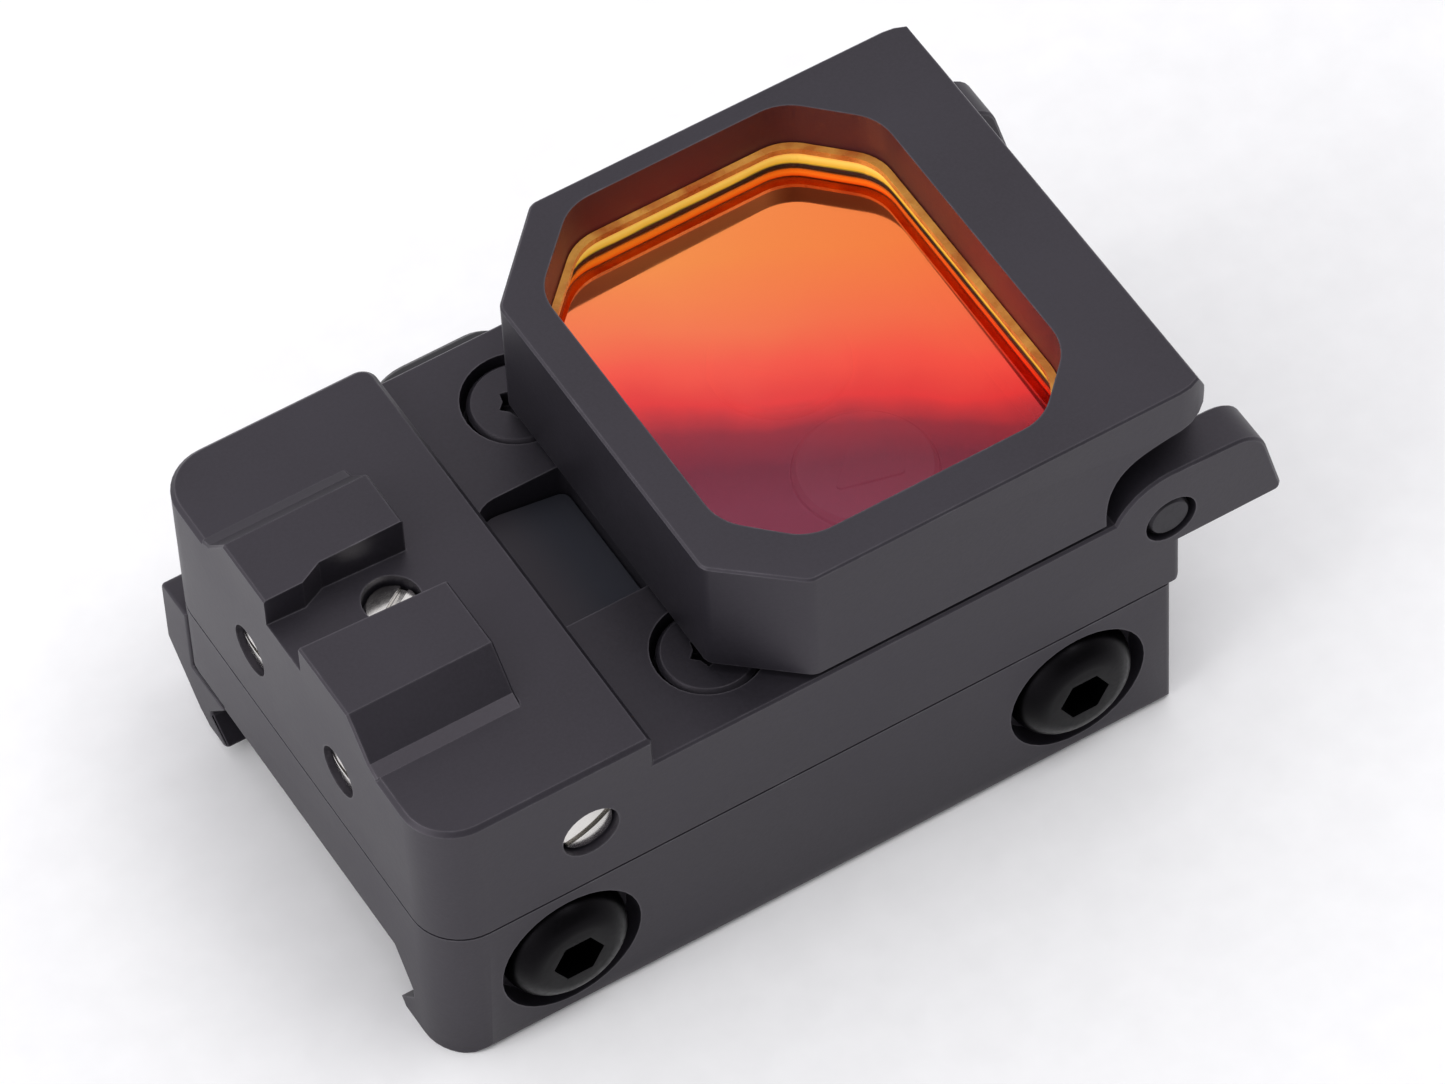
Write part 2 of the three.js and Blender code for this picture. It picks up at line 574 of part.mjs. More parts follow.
function upperHousing() {
  const block = outline([
    [REAR_X, -HALF_WIDTH, CORNER_R],
    [BLOCK_FRONT_X, -HALF_WIDTH, 0.3],
    [BLOCK_FRONT_X, HALF_WIDTH, BLOCK_LEFT_R],
    [REAR_X, HALF_WIDTH, CORNER_R],
  ], ROUND_STEPS);
  const shell = [
    prismZ(bodyPlan(HOUSING_FRONT_X), SEAM_Z, DECK_Z, EDGE * 0.6),
    prismZ(block, DECK_Z - 2, BLOCK_Z, EDGE),
    boss(),
  ];
  for (const side of [-1, 1]) {
    const y0 = side < 0 ? -HALF_WIDTH : EAR_IN_Y;
    const y1 = side < 0 ? -EAR_IN_Y : HALF_WIDTH;
    shell.push(prismY(earProfile(), y0, y1, 0.15));
  }
  const recess = common(
    rampSlab(BLOCK_FRONT_X, RECESS_FRONT_X, RECESS_HALF_Y, 0, -3),
    prismZ(recessPlan(0), SEAM_Z, BLOCK_Z + 2),
  );
  const windowSeat = common(
    rampSlab(BLOCK_FRONT_X, RECESS_FRONT_X, RECESS_HALF_Y, PANE_THICK + 0.05, -0.1),
    prismZ(recessPlan(0), SEAM_Z, BLOCK_Z + 2),
  );
  const slotY = ARM_Y[0] - ARM_GAP - ARM_TRAVEL;
  const tools = [
    // Hinge trough between the ears.
    box(TROUGH_X, PIN_X + 9, -EAR_IN_Y, EAR_IN_Y, TROUGH_Z, BLOCK_Z + 4),
    rod('y', PIN_X, PIN_Z, PIN_R + 0.04, -HALF_WIDTH - 1, HALF_WIDTH + 1, 24),
    // Adjuster bay, light bay, cell bay and circuit board bay.
    slab({ ...ADJUSTER_BAY, z0: SEAM_Z - 1, z1: ADJUSTER_BAY.top }),
    slab({ ...LIGHT_BAY, z0: SEAM_Z - 1, z1: LIGHT_BAY.top }),
    rod('z', CELL_X, 0, CELL_R + 0.25, SEAM_Z - 1, CELL_TOP_Z + 0.15, 48),
    slab({ ...BOARD_BAY, z0: CELL_TOP_Z, z1: BOARD_BAY.top }),
    // Sloped recess ahead of the block with the seat for its window.
    recess,
    windowSeat,
    slab({ ...LIGHT_SLOT, z0: LIGHT_BAY.top - 0.1, z1: LIGHT_SLOT.top }),
    notch(),
    // Adjuster holes.
    rod('z', ELEV_X, ELEV_Y, ELEV_HOLE_R, ELEV_SEAT_Z - 0.1, BOSS_TOP_Z, 32),
    rod('z', ELEV_X, ELEV_Y, SHANK_R + SHANK_CLEARANCE, DECK_Z - 0.4, ELEV_SEAT_Z + 0.5, 20),
    rod('y', WIND_X, WIND_Z, WIND_HOLE_R, -HALF_WIDTH - 1, WIND_SEAT_Y + 0.1),
    rod('y', WIND_X, WIND_Z, SHANK_R + SHANK_CLEARANCE, WIND_SEAT_Y - 0.3, -ADJUSTER_BAY.halfY + 0.5, 20),
    // Release button pocket with its arm slot and spring hole.
    prismY(buttonPlan(0.12), BUTTON_POCKET_Y, HALF_WIDTH + 1),
    box(BUTTON_X + 1.8, ARM_FRONT_X + 0.2, slotY, ARM_Y[1] + 0.17, ARM_Z[0] - 0.2, ARM_Z[1] + 0.2),
    box(LATCH_X[0] - 0.3, LATCH_X[1] + 0.3, slotY, ARM_Y[1] + 0.17, ARM_Z[1] - 0.4, DECK_Z + 1),
    rod('y', PUSH_SPRING.x, PUSH_SPRING.z, 1.2, PUSH_SPRING.y0 - 0.18, BUTTON_POCKET_Y + 0.1, 20),
    // Seal groove.
    sealRing(SEAL_HALF_WIDE + 0.07, SEAM_Z - 1, SEAM_Z + SEAL_TALL + 0.05),
    // Small chamfer under the front edge.
    prismY(outline([
      [HOUSING_FRONT_X - 0.5, SEAM_Z - 0.05], [HOUSING_FRONT_X + 0.1, SEAM_Z - 0.05],
      [HOUSING_FRONT_X + 0.1, SEAM_Z + 0.6],
    ]), -HALF_WIDTH - 1, HALF_WIDTH + 1),
  ];
  for (const side of [-1, 1]) {
    const face = side * HALF_WIDTH;
    const floor = side * (HALF_WIDTH - 1.2);
    tools.push(
      rod('y', PIN_X, PIN_Z, PIN_RING_R, Math.min(face + side, floor), Math.max(face + side, floor), 28),
      rod('z', SCREW_X, side * SCREW_Y, SCREW_RECESS_R, SCREW_SEAT_Z - 0.05, DECK_Z + 1, 36),
      rod('z', SCREW_X, side * SCREW_Y, SCREW_SHANK_R + 0.12, SEAM_Z - 1, DECK_Z),
      rod('x', side * LOCK_Y, LOCK_Z, LOCK_HOLE_R, REAR_X - 1, -19),
      rod('z', KEY_X, side * KEY_Y, KEY_R + 0.09, 10, DECK_Z + 1, 40),
    );
  }
  return cut(join(...shell), ...tools);
}
group.add(part('upper_housing', upperHousing(), ANODISED));

group.add(part('housing_seal', sealRing(SEAL_HALF_WIDE, SEAM_Z, SEAM_Z + SEAL_TALL), SEAL));

const pane = common(
  rampSlab(BLOCK_FRONT_X, RECESS_FRONT_X, RECESS_HALF_Y, PANE_THICK, PANE_SUNK),
  prismZ(recessPlan(-PANE_INSET), SEAM_Z, BLOCK_Z),
);
group.add(part('emitter_window', pane, SMOKE_GLASS));

// ---- Body screws: flat round heads with a six-point socket -----------------------------------
function bodyScrew(side) {
  const top = DECK_Z - 0.25;
  const y = side * SCREW_Y;
  const blank = turned('z', SCREW_X, y, [
    [0, SCREW_END_Z],
    [SCREW_SHANK_R - 0.3, SCREW_END_Z],
    [SCREW_SHANK_R, SCREW_END_Z + 0.3],
    [SCREW_SHANK_R, SCREW_SEAT_Z],
    [SCREW_HEAD_R, SCREW_SEAT_Z],
    [SCREW_HEAD_R, top - EDGE],
    [SCREW_HEAD_R - EDGE, top],
    [0, top],
  ], 40);
  const socket = [];
  for (let k = 0; k < 12; k += 1) {
    const r = SCREW_SOCKET_R[k % 2];
    const t = (Math.PI * k) / 6;
    socket.push(new THREE.Vector2(SCREW_X + r * Math.cos(t), y + r * Math.sin(t)));
  }
  return cut(blank, prismZ(socket, top - SCREW_SOCKET_DEEP, top + 1));
}
group.add(part('body_screw_right', bodyScrew(-1), ANODISED));
group.add(part('body_screw_left', bodyScrew(1), ANODISED));

// ---- Hinge pin and its springs ---------------------------------------------------------------
const pinEnd = HALF_WIDTH - 0.1;
const pinStep = HALF_WIDTH - 1.1;
group.add(part('hinge_pin', turned('y', PIN_X, PIN_Z, [
  [0, -pinEnd], [PIN_HEAD_R - 0.2, -pinEnd], [PIN_HEAD_R, -pinEnd + 0.2], [PIN_HEAD_R, -pinStep],
  [PIN_R, -pinStep], [PIN_R, pinStep], [PIN_HEAD_R, pinStep], [PIN_HEAD_R, pinEnd - 0.2],
  [PIN_HEAD_R - 0.2, pinEnd], [0, pinEnd],
], 32), BLACK_OXIDE));

function hingeSpring(side) {
  const perTurn = 12;
  const steps = SPRING_TURNS * perTurn;
  const points = [[PIN_X - 1.9, side * (SPRING_IN_Y - 0.05), PIN_Z - SPRING_COIL_R]];
  for (let k = 0; k <= steps; k += 1) {
    const t = -Math.PI / 2 - (2 * Math.PI * k) / perTurn;
    const y = side * (SPRING_IN_Y + (SPRING_LONG * k) / steps);
    points.push([PIN_X + SPRING_COIL_R * Math.cos(t), y, PIN_Z + SPRING_COIL_R * Math.sin(t)]);
  }
  points.push([PIN_X - SPRING_COIL_R, side * (SPRING_IN_Y + SPRING_LONG + 0.02), PIN_Z + 1.6]);
  return wire(points, SPRING_WIRE_R, points.length);
}
group.add(part('hinge_spring_right', hingeSpring(-1), SPRING_STEEL));
group.add(part('hinge_spring_left', hingeSpring(1), SPRING_STEEL));

// ---- Lens frame ------------------------------------------------------------------------------
// Outline of the lens opening, drawn in by inset all round. A corner's chamfer shrinks with it.
function openingPlan(inset) {
  const [x0, x1] = [OPENING_X[0] + inset, OPENING_X[1] - inset];
  const [y0, y1] = [OPENING_Y[0] + inset, OPENING_Y[1] - inset];
  const shrink = inset * (2 - Math.SQRT2);
  const { rearRight, frontRight, frontLeft, rearLeft } = OPENING_CHAMFERS;
  const corners = [
    [x0 + rearRight - shrink, y0], [x1 - frontRight + shrink, y0],
    [x1, y0 + frontRight - shrink], [x1, y1 - frontLeft + shrink],
    [x1 - frontLeft + shrink, y1], [x0 + rearLeft - shrink, y1],
    [x0, y1 - rearLeft + shrink], [x0, y0 + rearRight - shrink],
  ];
  return outline(corners.map(([x, y]) => [x, y, OPENING_R]), 6);
}

// Clearance for an ear: its outline as swept while the frame turns upright.
function earClearance() {
  const edge = new THREE.SplineCurve(EAR_CUT.map(([x, z]) => new THREE.Vector2(PIN_X + x, PIN_Z + z)));
  const last = EAR_CUT[EAR_CUT.length - 1];
  return [...edge.getPoints(30), new THREE.Vector2(PIN_X + last[0], PIN_Z + EAR_CUT[0][1])];
}

function lensFrame() {
  const plan = outline([
    [FRAME_REAR_X, -HALF_WIDTH + FRAME_CHAMFER_RIGHT[1], FRAME_REAR_R],
    [FRAME_REAR_X + FRAME_CHAMFER_RIGHT[0], -HALF_WIDTH, FRAME_REAR_R],
    [FRAME_FRONT_X, -HALF_WIDTH, FRAME_CORNER_R],
    [FRAME_FRONT_X, HALF_WIDTH, FRAME_CORNER_R],
    [FRAME_REAR_X + FRAME_CHAMFER_LEFT[0], HALF_WIDTH, FRAME_REAR_R],
    [FRAME_REAR_X, HALF_WIDTH - FRAME_CHAMFER_LEFT[1], FRAME_REAR_R],
  ], 6);
  const profile = outline([
    [FRAME_REAR_X - 1, FRAME_BOTTOM_Z - 1],
    [FRAME_REAR_X - 1, FRAME_TOP_Z + 1],
    [FRAME_LIP_X, FRAME_TOP_Z + 1],
    [FRAME_LIP_X, FRAME_TOP_Z, 0.7],
    [FRAME_FRONT_X, FRAME_NOSE_Z, 0.5],
    [FRAME_FRONT_X, FRAME_BOTTOM_Z - 1],
  ], 5);
  const plate = common(
    prismZ(plan, FRAME_BOTTOM_Z, FRAME_TOP_Z, FRAME_EDGE),
    prismY(profile, -HALF_WIDTH - 1, HALF_WIDTH + 1),
  );
  const barrel = rod('y', PIN_X, PIN_Z, BARREL_R, -BARREL_HALF_Y, BARREL_HALF_Y, 36);
  const web = box(PIN_X - BARREL_R, PIN_X + BARREL_R, -BARREL_HALF_Y, BARREL_HALF_Y, PIN_Z,
    FRAME_BOTTOM_Z + 0.5);
  const tools = [
    prismZ(openingPlan(0), LEDGE_Z, FRAME_TOP_Z + 1),
    prismZ(openingPlan(LEDGE_INSET), FRAME_BOTTOM_Z - 1, LEDGE_Z + 1),
    rod('y', PIN_X, PIN_Z, PIN_R + 0.05, -HALF_WIDTH, HALF_WIDTH, 24),
    prismY(earClearance(), EAR_IN_Y - 0.15, HALF_WIDTH + 1),
    prismY(earClearance(), -HALF_WIDTH - 1, -EAR_IN_Y + 0.15),
    box(LATCH_X[0] - 0.4, LATCH_X[1] + 0.5, ARM_Y[0] - 0.95, ARM_Y[1] + 0.27,
      FRAME_BOTTOM_Z - 1, LATCH_TOP_Z + 0.27),
    rod('z', MAGNET_X, MAGNET_Y, MAGNET_R + 0.06, FRAME_BOTTOM_Z - 1, LEDGE_Z - 0.2, 20),
  ];
  return cut(join(plate, barrel, web), ...tools);
}
group.add(part('lens_frame', lensFrame(), ANODISED));

const magnet = rod('z', MAGNET_X, MAGNET_Y, MAGNET_R, FRAME_BOTTOM_Z + 0.1, LEDGE_Z - 0.25, 20);
group.add(part('switch_magnet', magnet, BARE_STEEL));

const rearLens = prismZ(openingPlan(LENS_GAP), LEDGE_Z, LENS_JOIN_Z);
const frontLens = prismZ(openingPlan(LENS_GAP), LENS_JOIN_Z + 0.04, LENS_TOP_Z, 0.2);
group.add(part('rear_lens', rearLens, RED_GLASS));
group.add(part('front_lens', frontLens, RED_GLASS));

const bead = cut(
  prismZ(openingPlan(LENS_GAP), LENS_TOP_Z + 0.02, LENS_TOP_Z + 0.02 + BEAD_TALL),
  prismZ(openingPlan(LENS_GAP + BEAD_WIDE), LENS_TOP_Z - 1, LENS_TOP_Z + 1),
);
group.add(part('lens_bead', bead, CEMENT));

// ---- Release button --------------------------------------------------------------------------
const buttonCap = prismY(buttonPlan(0), BUTTON_BACK_Y, BUTTON_FACE_Y, 0.45);
const latchArm = join(
  box(BUTTON_X + 2, ARM_FRONT_X, ...ARM_Y, ...ARM_Z),
  box(...LATCH_X, ...ARM_Y, ARM_Z[1] - 0.2, LATCH_TOP_Z),
);
group.add(part('release_button', buttonCap, DARK_PLASTIC));
group.add(part('latch_arm', latchArm, BLACK_OXIDE));

function buttonSpring() {
  const { x, z, r, wireR, y0, long, turns } = PUSH_SPRING;
  const perTurn = 10;
  const points = [];
  for (let k = 0; k <= turns * perTurn; k += 1) {
    const t = (2 * Math.PI * k) / perTurn;
    points.push([x + r * Math.cos(t), y0 + (long * k) / (turns * perTurn), z + r * Math.sin(t)]);
  }
  return wire(points, wireR, points.length, 5);
}
group.add(part('button_spring', buttonSpring(), SPRING_STEEL));

// ---- Brightness keys, circuit board and cell ---------------------------------------------------
function brightnessKey(side) {
  const y = side * KEY_Y;
  const cap = turned('z', KEY_X, y, [
    [0, KEY_STEM_Z],
    [KEY_STEM_R, KEY_STEM_Z],
    [KEY_STEM_R, KEY_FLANGE_Z[0]],
    [KEY_FLANGE_R, KEY_FLANGE_Z[0]],
    [KEY_FLANGE_R, KEY_FLANGE_Z[1]],
    [KEY_R, KEY_FLANGE_Z[1]],
    [KEY_R, KEY_TOP_Z - EDGE],
    [KEY_R - EDGE, KEY_TOP_Z],
    [0, KEY_TOP_Z],
  ], 40);
  const mark = [];
  for (let k = 0; k < 3; k += 1) {
    const t = (2 * Math.PI * k) / 3 + (side < 0 ? KEY_MARK_TURN : -KEY_MARK_TURN);
    mark.push([KEY_X + KEY_MARK_R * Math.cos(t), y + KEY_MARK_R * Math.sin(t), 0.2]);
  }
  return join(cap, prismZ(outline(mark, 2), KEY_TOP_Z - 0.2, KEY_TOP_Z + KEY_MARK_TALL));
}
group.add(part('brightness_up_key', brightnessKey(-1), DARK_PLASTIC));
group.add(part('brightness_down_key', brightnessKey(1), DARK_PLASTIC));

const boardPlan = outline([
  [BOARD_X[0], -BOARD_HALF_Y, 1],
  [BOARD_X[1], -BOARD_HALF_Y, 1],
  [BOARD_X[1], BOARD_HALF_Y, 1],
  [BOARD_X[0], BOARD_HALF_Y, 1],
], 3);
group.add(part('circuit_board', prismZ(boardPlan, BOARD_Z, BOARD_TOP_Z), BOARD));
for (const [name, side] of [['key_switch_up', -1], ['key_switch_down', 1]]) {
  const y = side * KEY_Y;
  group.add(part(name, join(
    box(KEY_X - SWITCH_HALF, KEY_X + SWITCH_HALF, y - SWITCH_HALF, y + SWITCH_HALF,
      BOARD_TOP_Z, BOARD_TOP_Z + SWITCH_BASE),
    rod('z', KEY_X, y, SWITCH_HALF / 2, BOARD_TOP_Z + SWITCH_BASE / 2, BOARD_TOP_Z + SWITCH_TALL, 16),
  ), CELL));
}
const sensor = box(SENSOR.x0, SENSOR.x1, SENSOR.y0, SENSOR.y1, BOARD_TOP_Z, BOARD_TOP_Z + SENSOR.tall);
group.add(part('lid_sensor', sensor, DARK_PLASTIC));
const chip = slab({ ...CHIP, z0: BOARD_TOP_Z, z1: BOARD_TOP_Z + CHIP.tall });
group.add(part('control_chip', chip, DARK_PLASTIC));
group.add(part('coin_cell', turned('z', CELL_X, 0, [
  [0, CELL_BASE_Z],
  [CELL_R - 1.6, CELL_BASE_Z],
  [CELL_R - 1.3, CELL_BASE_Z + EDGE],
  [CELL_R - EDGE, CELL_BASE_Z + EDGE],
  [CELL_R, CELL_BASE_Z + 2 * EDGE],
  [CELL_R, CELL_TOP_Z - EDGE],
  [CELL_R - EDGE, CELL_TOP_Z],
  [0, CELL_TOP_Z],
], 48), CELL));
group.add(part('cell_contact', join(
  box(...CONTACT_X, -CONTACT_HALF_Y, CONTACT_HALF_Y, BOARD_Z - 0.25, BOARD_Z),
  box(CONTACT_X[0], CONTACT_FOOT_X, -CONTACT_HALF_Y, CONTACT_HALF_Y, CELL_TOP_Z + 0.03, BOARD_Z - 0.1),
), BRASS));

// ---- Adjusters, light source and its carriage ----------------------------------------------------
// Low dome over a screw's head, from its middle outward; way is 1 where the head faces along the axis.
function headDome(r, face, way) {
  return [0, 0.35, 0.65, 0.88, 1].map((share) => [r * share, face - way * HEAD_RISE * share * share]);
}

// Slotted screw with its slot turned about its axis and cut between two places along it.
function slottedScrew(axis, a, b, profile, slotFrom, slotTo, turn = 0) {
  const reach = 3;
  const slots = {
    x: [slotFrom, slotTo, -reach, reach, -SLOT_HALF, SLOT_HALF],
    y: [-reach, reach, slotFrom, slotTo, -SLOT_HALF, SLOT_HALF],
    z: [-reach, reach, -SLOT_HALF, SLOT_HALF, slotFrom, slotTo],
  };
  const spins = { x: [turn, 0, 0], y: [0, turn, 0], z: [0, 0, turn] };
  const places = { x: [0, a, b], y: [a, 0, b], z: [a, b, 0] };
  const spin = new THREE.Matrix4().makeRotationFromEuler(new THREE.Euler(...spins[axis]));
  const slot = box(...slots[axis]).applyMatrix4(spin).translate(...places[axis]);
  return cut(turned(axis, a, b, profile, 28), slot);
}

group.add(part('elevation_screw', slottedScrew('z', ELEV_X, ELEV_Y, [
  [0, ELEV_END_Z],
  [SHANK_R, ELEV_END_Z],
  [SHANK_R, ELEV_SEAT_Z],
  [ELEV_HEAD_R, ELEV_SEAT_Z],
  ...headDome(ELEV_HEAD_R, ELEV_TOP_Z, 1).reverse(),
], ELEV_TOP_Z - 0.4, ELEV_TOP_Z + 1, ELEV_SLOT_TURN), BARE_STEEL));
const elevationClip = ring('z', ELEV_X, ELEV_Y, SHANK_R + 0.04, CLIP_R, ADJUSTER_BAY.top - 0.4,
  ADJUSTER_BAY.top - 0.4 + CLIP_THICK);
group.add(part('elevation_clip', elevationClip, SPRING_STEEL));

group.add(part('windage_screw', slottedScrew('y', WIND_X, WIND_Z, [
  ...headDome(WIND_HEAD_R, WIND_FACE_Y, -1),
  [WIND_HEAD_R, WIND_SEAT_Y],
  [SHANK_R, WIND_SEAT_Y],
  [SHANK_R, WIND_END_Y],
  [0, WIND_END_Y],
], WIND_FACE_Y - 1, WIND_FACE_Y + SLOT_DEEP, WIND_SLOT_TURN), BARE_STEEL));
const windageClip = ring('y', WIND_X, WIND_Z, SHANK_R + 0.04, CLIP_R, -ADJUSTER_BAY.halfY + 0.1,
  -ADJUSTER_BAY.halfY + 0.1 + CLIP_THICK);
group.add(part('windage_clip', windageClip, SPRING_STEEL));

const carriageHole = rod('z', ELEV_X, ELEV_Y, SHANK_R + SHANK_CLEARANCE, CARRIAGE.z0 - 1,
  CARRIAGE.z1 + 1, 24);
const carriage = cut(join(slab(CARRIAGE), slab(CARRIAGE_SHELF)), carriageHole);
group.add(part('emitter_carriage', carriage, ANODISED));

const nutHole = rod('y', WIND_X, WIND_Z, SHANK_R + 0.06, -NUT_BODY.halfY - 1, NUT_BODY.halfY + 1, 24);
group.add(part('windage_nut', cut(join(slab(NUT_BODY), slab(NUT_TONGUE)), nutHole), BRASS));

function ledHolder() {
  const pieces = [HOLDER_FOOT, HOLDER_KEEL, HOLDER_ARM, HOLDER_SEAT].map(slab);
  const { x0, x1, z0, z1 } = HOLDER_FORK;
  pieces.push(box(x0, x1, HOLDER_FORK.in, HOLDER_FORK.out, z0, z1));
  pieces.push(box(x0, x1, -HOLDER_FORK.out, -HOLDER_FORK.in, z0, z1));
  return join(...pieces);
}
group.add(part('led_holder', ledHolder(), DARK_PLASTIC));
const ledDome = rod('z', LED_DOME.x, 0, LED_DOME.r, LED_BODY.z1 - 0.05, LED_DOME.top, 16);
group.add(part('led_emitter', join(slab(LED_BODY), ledDome), NYLON));

// ---- Rear lock screws with soft tips -----------------------------------------------------------
for (const [name, side] of [['right', -1], ['left', 1]]) {
  const y = side * LOCK_Y;
  group.add(part(`lock_screw_${name}`, slottedScrew('x', y, LOCK_Z, [
    ...headDome(LOCK_HEAD_R, LOCK_FACE_X, -1),
    [LOCK_HEAD_R, LOCK_END_X],
    [0, LOCK_END_X],
  ], LOCK_FACE_X - 1, LOCK_FACE_X + SLOT_DEEP), BARE_STEEL));
  const tip = rod('x', y, LOCK_Z, LOCK_TIP_R, LOCK_END_X + 0.03, LOCK_TIP_X, 20);
  group.add(part(`lock_tip_${name}`, tip, NYLON));
}

// ---- Clamp jaw and cross bolts -----------------------------------------------------------------
function clampJaw() {
  const section = outline([
    [JAW_IN_Y, JAW_TOP_Z],
    [JAW_OUT_Y, JAW_TOP_Z, 0.4],
    [JAW_OUT_Y, JAW_BELLY_Z, 0.4],
    [JAW_TOE_Y, JAW_BOTTOM_Z + 0.6, 0.6],
    [JAW_FOOT_Y, JAW_BOTTOM_Z, 0.3],
    [CLAW_LIP_Y + 0.4, JAW_BOTTOM_Z],
    [CLAW_LIP_Y, JAW_BOTTOM_Z + 0.3],
    [CLAW_VEE_Y, CLAW_VEE_Z],
    [CLAW_VEE_Y, CLAW_VEE_Z + 0.3],
    [JAW_NOSE_Y, JAW_NOSE_Z],
    [JAW_IN_Y, JAW_NOSE_Z],
  ], 3);
  const bores = BOLT_XS.map((x) => rod('y', x, BOLT_Z, BOLT_R + 0.06, 0, JAW_OUT_Y + 1));
  return cut(prismX(section, REAR_X, MOUNT_FRONT_X - 0.4, JAW_EDGE), ...bores);
}
group.add(part('clamp_jaw', clampJaw(), ANODISED));

function crossBolt(x) {
  const seatY = -HALF_WIDTH + COUNTERBORE_DEPTH - 0.02;
  const faceY = seatY - BOLT_HEAD_H;
  const domeSteps = 7;
  const profile = [[0, faceY], [BOLT_FACE_R, faceY]];
  for (let k = 1; k <= domeSteps; k += 1) {
    const t = (Math.PI / 2) * (k / domeSteps);
    profile.push([
      BOLT_FACE_R + (BOLT_HEAD_R - BOLT_FACE_R) * Math.sin(t),
      seatY - BOLT_RIM - (BOLT_HEAD_H - BOLT_RIM) * Math.cos(t),
    ]);
  }
  profile.push(
    [BOLT_HEAD_R, seatY],
    [BOLT_R, seatY],
    [BOLT_R, BOLT_END_Y - 0.4],
    [BOLT_R - 0.4, BOLT_END_Y],
    [0, BOLT_END_Y],
  );
  const hex = [];
  for (let k = 0; k < 6; k += 1) {
    const t = (Math.PI * k) / 3;
    hex.push(new THREE.Vector2(x + BOLT_HEX_R * Math.cos(t), BOLT_Z + BOLT_HEX_R * Math.sin(t)));
  }
  return cut(turned('y', x, BOLT_Z, profile, 44), prismY(hex, faceY - 1, seatY - BOLT_HEX_FLOOR));
}
group.add(part('cross_bolt_rear', crossBolt(BOLT_XS[0]), BLACK_OXIDE));
group.add(part('cross_bolt_front', crossBolt(BOLT_XS[1]), BLACK_OXIDE));

export default group;
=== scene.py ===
"""Looks of a folding reflex sight: finishes, floor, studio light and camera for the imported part."""

import json
import math

import bmesh
import bpy
from mathutils import Matrix, Vector


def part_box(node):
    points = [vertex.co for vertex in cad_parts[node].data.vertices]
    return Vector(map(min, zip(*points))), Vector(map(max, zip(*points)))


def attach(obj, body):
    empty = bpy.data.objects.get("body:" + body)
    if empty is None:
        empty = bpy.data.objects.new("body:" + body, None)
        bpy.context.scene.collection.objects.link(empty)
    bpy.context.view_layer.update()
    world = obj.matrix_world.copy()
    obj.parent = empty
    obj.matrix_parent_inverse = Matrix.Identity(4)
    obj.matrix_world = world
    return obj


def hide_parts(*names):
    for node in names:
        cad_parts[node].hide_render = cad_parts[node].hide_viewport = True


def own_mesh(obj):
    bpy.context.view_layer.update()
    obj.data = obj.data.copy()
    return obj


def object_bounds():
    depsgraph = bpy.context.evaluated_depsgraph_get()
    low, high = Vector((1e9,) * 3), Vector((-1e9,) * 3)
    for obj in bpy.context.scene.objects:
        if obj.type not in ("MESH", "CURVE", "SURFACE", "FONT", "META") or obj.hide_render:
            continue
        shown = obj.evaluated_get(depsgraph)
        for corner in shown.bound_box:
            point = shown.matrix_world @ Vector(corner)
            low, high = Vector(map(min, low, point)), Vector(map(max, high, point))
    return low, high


MM = 0.001

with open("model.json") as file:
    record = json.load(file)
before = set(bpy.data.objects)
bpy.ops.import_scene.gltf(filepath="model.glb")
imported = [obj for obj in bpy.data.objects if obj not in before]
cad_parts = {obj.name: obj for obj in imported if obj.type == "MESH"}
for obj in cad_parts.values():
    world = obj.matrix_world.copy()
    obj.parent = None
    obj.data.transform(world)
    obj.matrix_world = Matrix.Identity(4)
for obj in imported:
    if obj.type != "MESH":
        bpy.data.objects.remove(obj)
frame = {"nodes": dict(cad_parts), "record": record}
nodes = frame["nodes"]
cad_box = [list(corner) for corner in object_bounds()]

# ---- Camera: place in metres, angles in degrees, lens and sensor in mm -----------------------
CAMERA_PLACE = Vector((-138.58, -261.88, 394.91)) * MM
CAMERA_AZIMUTH = -28.47
CAMERA_ELEVATION = 52.545
CAMERA_ROLL = 3.499
CAMERA_LENS = 232.24
CAMERA_CLIP = (0.01, 20.0)
SENSOR_WIDTH = 36.0

# ---- Fine copies of the faceted nodes --------------------------------------------------------
WELD = 0.002 * MM
FLAT_ANGLE = math.radians(0.3)
SHARP_ANGLE = math.radians(18.0)
EDGE_STEPS = 2
FINE_EDGES = {
    0.09 * MM: ("rail_mount", "upper_housing", "clamp_jaw", "lens_frame", "release_button"),
    0.05 * MM: ("cross_bolt_rear", "cross_bolt_front"),
    0.04 * MM: (
        "body_screw_right", "body_screw_left", "elevation_screw", "windage_screw",
        "lock_screw_right", "lock_screw_left", "hinge_pin", "brightness_up_key",
        "brightness_down_key",
    ),
}

# ---- Finishes: colours are linear, noise scales are per metre --------------------------------
NOISE_SPAN = (0.3, 0.7)
ANODISED = (0.0125, 0.0115, 0.0150)
ANODISED_TINT = (0.97, 0.89, 1.0)
RUBBED_METAL = (0.20, 0.19, 0.21)
RUBBED_REACH = 0.16 * MM
RUBBED_TURN = (0.93, 0.996)
RUBBED_SHARE = 0.40
# Painted red reflection of the coating, laid on the frame's opening walls
PAINTED_RED_REFLECTION = (0.26, 0.030, 0.022)
BRIGHT_STEEL = (0.80, 0.78, 0.75)
BLACK_OXIDE = (0.008, 0.0075, 0.0085)
OILED_STEEL = (0.042, 0.040, 0.045)
SPRING_STEEL = (0.55, 0.54, 0.52)
NICKEL = (0.70, 0.71, 0.72)
BRASS = (0.62, 0.42, 0.16)
BLACK_PLASTIC = (0.018, 0.017, 0.020)
KEY_RUBBER = (0.060, 0.058, 0.063)
SEAL_RUBBER = (0.012, 0.012, 0.013)
NYLON = (0.70, 0.69, 0.62)
